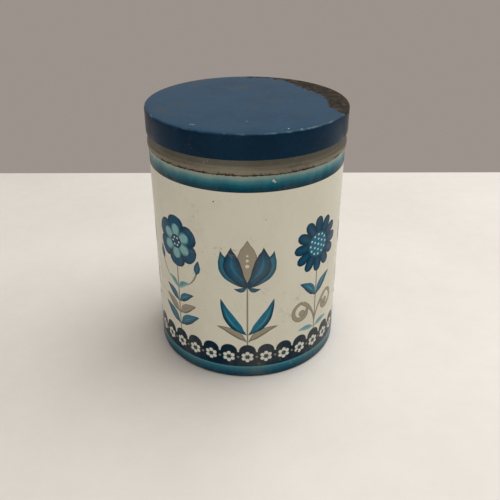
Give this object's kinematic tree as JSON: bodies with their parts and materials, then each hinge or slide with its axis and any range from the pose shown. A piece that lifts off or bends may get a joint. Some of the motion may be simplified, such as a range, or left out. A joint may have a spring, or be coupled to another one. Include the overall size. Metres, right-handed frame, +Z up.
{
  "type": "cookie tin",
  "caption": "Round tinplate cookie tin with a flowered wall, a bare neck ring, a rolled foot and a plain slip lid that lifts off.",
  "frame": {"origin": "middle of the foot, on the surface that the tin stands on", "axes": "+Z up along the tin's axis; -Y is the front of the printed pattern and +Y is the side seam"},
  "size_m": [0.1118, 0.1118, 0.148],
  "materials": {
    "printed_tinplate": "off-white ground with blue and taupe flowers, under a semi-gloss varnish, lightly scratched",
    "bare_tinplate": "dull, unpainted tinplate with stains and a little rust at the cut edges",
    "lid_lacquer": "dark navy lacquer, semi-gloss, worn to the metal along part of the top edge"
  },
  "bodies": {
    "tin": {"body_wall": "printed_tinplate", "bottom_end": "bare_tinplate", "neck_ring": "bare_tinplate"},
    "lid": {"lid_shell": "lid_lacquer"}
  },
  "joints": [
    {"name": "lid_lift", "type": "slide", "parent": "tin", "child": "lid", "axis": [0, 0, 1], "range_m": [0, 0.16]}
  ]
}
